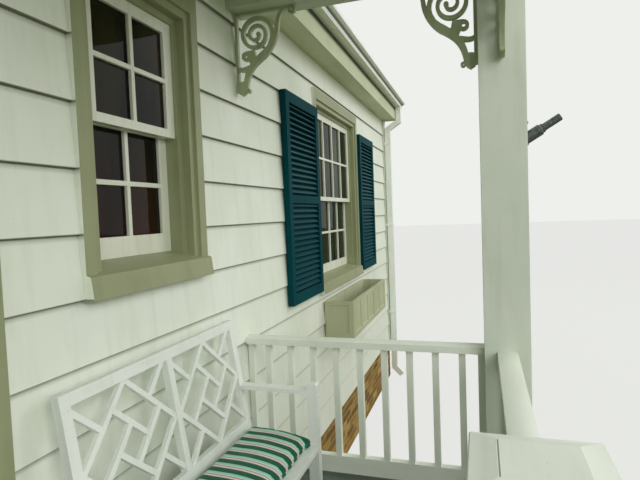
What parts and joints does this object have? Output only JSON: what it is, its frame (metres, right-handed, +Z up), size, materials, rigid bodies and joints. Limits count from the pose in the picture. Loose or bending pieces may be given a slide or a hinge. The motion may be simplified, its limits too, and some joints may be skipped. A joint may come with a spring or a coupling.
{
  "type": "entrance porch with house front wall",
  "caption": "Gabled entrance porch with steps, rails, scroll brackets and a bench, on a clapboard house wall with shuttered window and window box.",
  "frame": {"origin": "middle of the whole footprint, on the ground", "axes": "+X runs to the right along the wall, seen from the yard; +Y runs into the house; +Z is up"},
  "size_m": [8.893, 2.819, 4.999],
  "materials": {
    "white_paint": "exterior oil paint on wood, satin",
    "sash_white": "gloss paint on wood",
    "khaki_paint": "khaki exterior paint on wood, satin",
    "teal_paint": "dark teal exterior paint on wood, satin",
    "floor_paint": "grey green porch floor paint",
    "brick": "tan and orange brick with grey mortar",
    "plaster": "stud wall with a plain plastered inner face",
    "shingles": "asphalt shingles on roof boards",
    "gutter_metal": "white baked enamel on aluminium",
    "grey_metal": "grey cast metal",
    "glass": "clear window glass over a dark room",
    "cushion_fabric": "striped woven cotton",
    "bench_paint": "white paint on wood"
  },
  "bodies": {
    "root": {"house_foundation": "brick", "wall_left": "plaster", "wall_over_door": "plaster", "wall_right": "plaster", "wall_end": "plaster", "gable_wall": "plaster", "clapboard_siding": "white_paint", "corner_board": "white_paint", "porch_foundation": "brick", "floor_rim": "white_paint", "porch_floor": "floor_paint", "step_stringers": "white_paint", "step_risers": "white_paint", "step_treads": "floor_paint", "corner_posts": "white_paint", "newels": "white_paint", "side_rails": "white_paint", "front_rails": "white_paint", "side_beams": "white_paint", "front_beam": "white_paint", "scroll_brackets": "white_paint", "flag_holder": "grey_metal", "porch_ceiling": "white_paint", "porch_cornices": "white_paint", "pediment": "white_paint", "rake_boards": "white_paint", "roof_left": "shingles", "roof_right": "shingles", "house_cornice": "white_paint", "house_roof_edge": "shingles", "gutter": "gutter_metal", "downspout": "gutter_metal", "door_sill": "white_paint", "door_casing": "khaki_paint", "door_leaf": "teal_paint", "porch_window_casings": "khaki_paint", "porch_window_sashes": "sash_white", "porch_window_glass": "glass", "end_window_casing": "khaki_paint", "end_window_sashes": "sash_white", "end_window_glass": "glass", "shutters": "teal_paint", "window_box": "khaki_paint", "bench_frame": "bench_paint", "bench_back": "bench_paint", "bench_seat": "bench_paint", "seat_cushion": "cushion_fabric"}
  },
  "joints": []
}
